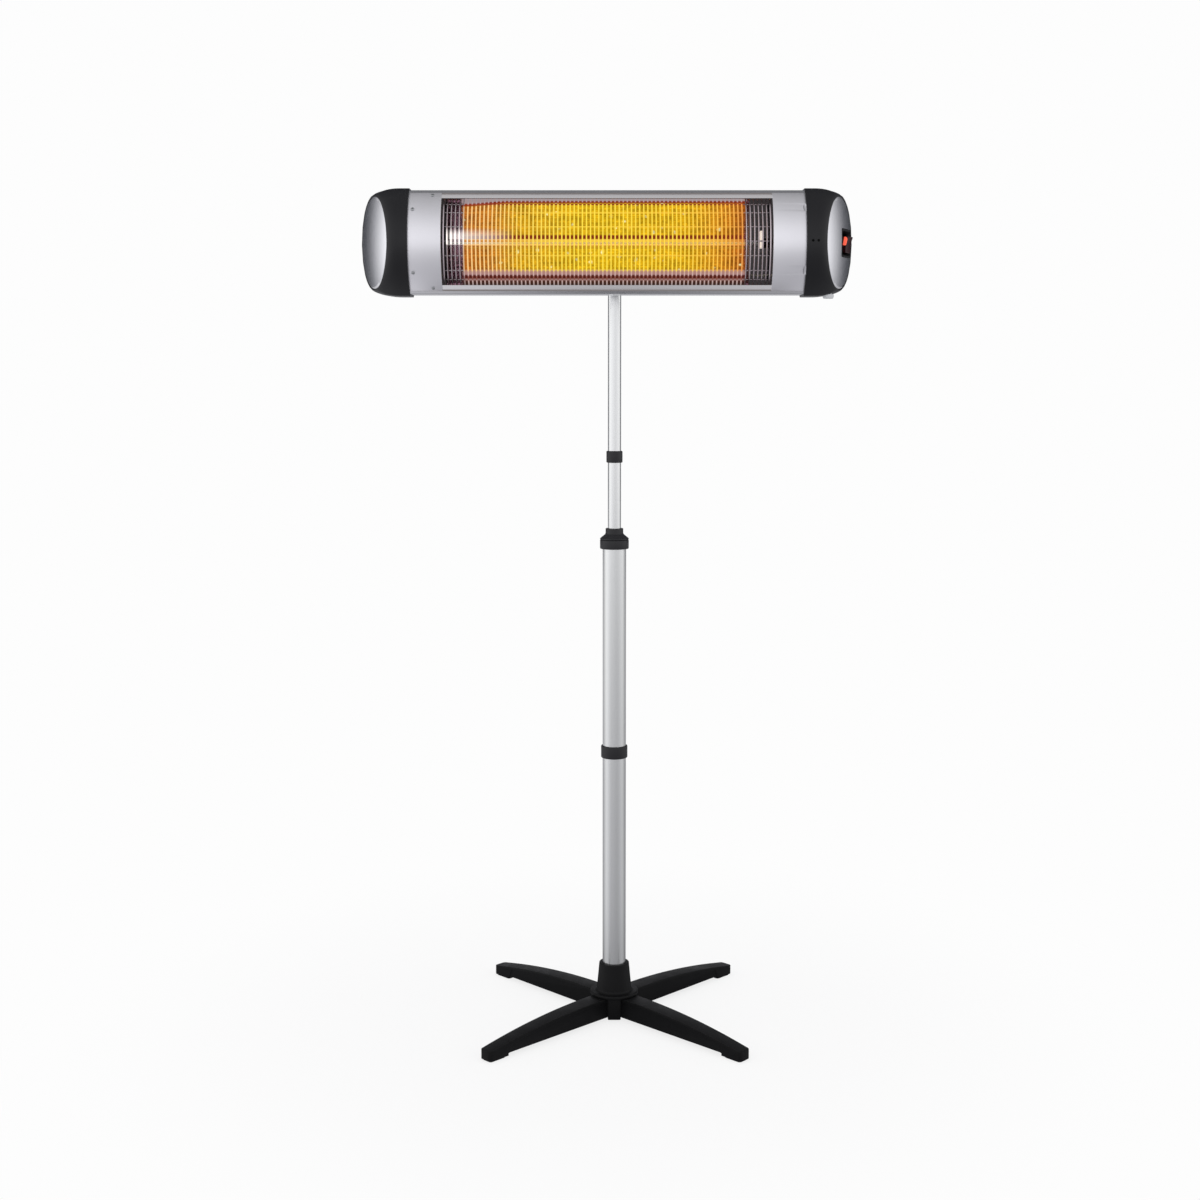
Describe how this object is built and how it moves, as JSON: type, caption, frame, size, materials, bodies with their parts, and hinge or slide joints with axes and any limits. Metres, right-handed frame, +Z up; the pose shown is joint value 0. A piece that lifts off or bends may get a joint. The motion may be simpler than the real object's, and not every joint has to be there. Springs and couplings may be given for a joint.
{
  "type": "electric patio heater",
  "caption": "Free-standing electric patio heater: a long quartz lamp head behind a wire guard, with a rocker switch, that tilts, turns and slides on a telescoping pole over a cross base.",
  "frame": {"origin": "on the floor, in the middle of the object's own bounding box; the pole's axis stands 12 mm to its right", "axes": "+Z up along the pole, -Y the way the lamp looks, +X towards the end of the head with the switch"},
  "size_m": [0.7228, 0.3908, 1.2646],
  "materials": {
    "anodised_aluminium": "satin",
    "trim_silver": "satin",
    "pole_aluminium": "satin",
    "mirror_aluminium": "polished",
    "zinc_steel": "satin",
    "guard_steel": "satin",
    "base_black": "satin",
    "black_plastic": "satin",
    "cap_plastic": "satin",
    "pad_rubber": "matte",
    "quartz_glass": "gloss",
    "glowing_filament": "matte",
    "lamp_ceramic": "matte",
    "rocker_red": "gloss",
    "gland_grey": "satin",
    "white_plastic": "satin",
    "lead_sleeve": "matte"
  },
  "bodies": {
    "stand": {"base_hub": "base_black", "base_clamp_plate": "zinc_steel", "base_bolt": "zinc_steel", "pole_socket": "black_plastic", "pole_foot_plug": "black_plastic", "leg_front_left": "base_black", "leg_front_right": "base_black", "leg_rear_left": "base_black", "leg_rear_right": "base_black", "foot_pad_front_left": "pad_rubber", "foot_pad_front_right": "pad_rubber", "foot_pad_rear_left": "pad_rubber", "foot_pad_rear_right": "pad_rubber", "lower_pole_tube": "pole_aluminium", "pole_coupling": "black_plastic", "middle_pole_tube": "pole_aluminium", "collar_base": "black_plastic", "clamp_collet": "white_plastic"},
    "lock_nut": {"lock_nut": "black_plastic"},
    "inner_pole": {"inner_pole_lower": "pole_aluminium", "inner_pole_plug": "black_plastic", "swivel_coupling": "black_plastic"},
    "upper_pole": {"inner_pole_upper": "pole_aluminium", "pole_top_knuckle": "black_plastic"},
    "head": {"tilt_bracket": "zinc_steel", "bracket_screw_left": "zinc_steel", "bracket_screw_right": "zinc_steel", "tilt_bolt": "zinc_steel", "housing": "anodised_aluminium", "fascia_left": "anodised_aluminium", "fascia_right": "anodised_aluminium", "fascia_screw_upper_outer": "zinc_steel", "fascia_screw_lower_outer": "zinc_steel", "fascia_screw_upper_inner": "zinc_steel", "fascia_screw_lower_inner": "zinc_steel", "bulkhead_left": "zinc_steel", "bulkhead_right": "zinc_steel", "reflector": "mirror_aluminium", "reflector_end_left": "mirror_aluminium", "reflector_end_right": "mirror_aluminium", "lamp_tube": "quartz_glass", "lamp_filament": "glowing_filament", "lamp_cap_left": "lamp_ceramic", "lamp_cap_right": "lamp_ceramic", "lamp_holder_left": "zinc_steel", "lamp_holder_right": "zinc_steel", "guard_wires": "guard_steel", "guard_cross_rods": "guard_steel", "end_cap_left": "cap_plastic", "end_cap_right": "cap_plastic", "end_trim_left": "trim_silver", "end_trim_right": "trim_silver", "switch_frame": "black_plastic", "cable_gland": "gland_grey", "terminal_block": "white_plastic", "lamp_lead_right": "lead_sleeve", "lamp_lead_left": "lead_sleeve"},
    "tilt_knob": {"tilt_knob": "black_plastic"},
    "rocker": {"rocker": "rocker_red"}
  },
  "joints": [
    {"name": "pole_slide", "type": "slide", "parent": "stand", "child": "inner_pole", "axis": [0, 0, 1], "range_m": [-0.098, 0.35]},
    {"name": "lock_nut_turn", "type": "hinge", "parent": "stand", "child": "lock_nut", "pos_m": [0.012, 0, 0.7548], "axis": [0, 0, 1], "range_deg": [0, 90]},
    {"name": "pole_swivel", "type": "hinge", "parent": "inner_pole", "child": "upper_pole", "pos_m": [0.012, 0, 0.8723], "axis": [0, 0, 1], "continuous": true},
    {"name": "head_tilt", "type": "hinge", "parent": "upper_pole", "child": "head", "pos_m": [0.012, 0, 1.1523], "axis": [1, 0, 0], "range_deg": [-20, 30]},
    {"name": "tilt_knob_turn", "type": "hinge", "parent": "head", "child": "tilt_knob", "pos_m": [0.012, 0, 1.1523], "axis": [1, 0, 0], "range_deg": [0, 180]},
    {"name": "rocker_switch", "type": "hinge", "parent": "head", "child": "rocker", "pos_m": [0.34255, -0.07551, 1.1873], "axis": [0.4848, 0.8746, 0], "range_deg": [-20, 0]}
  ]
}
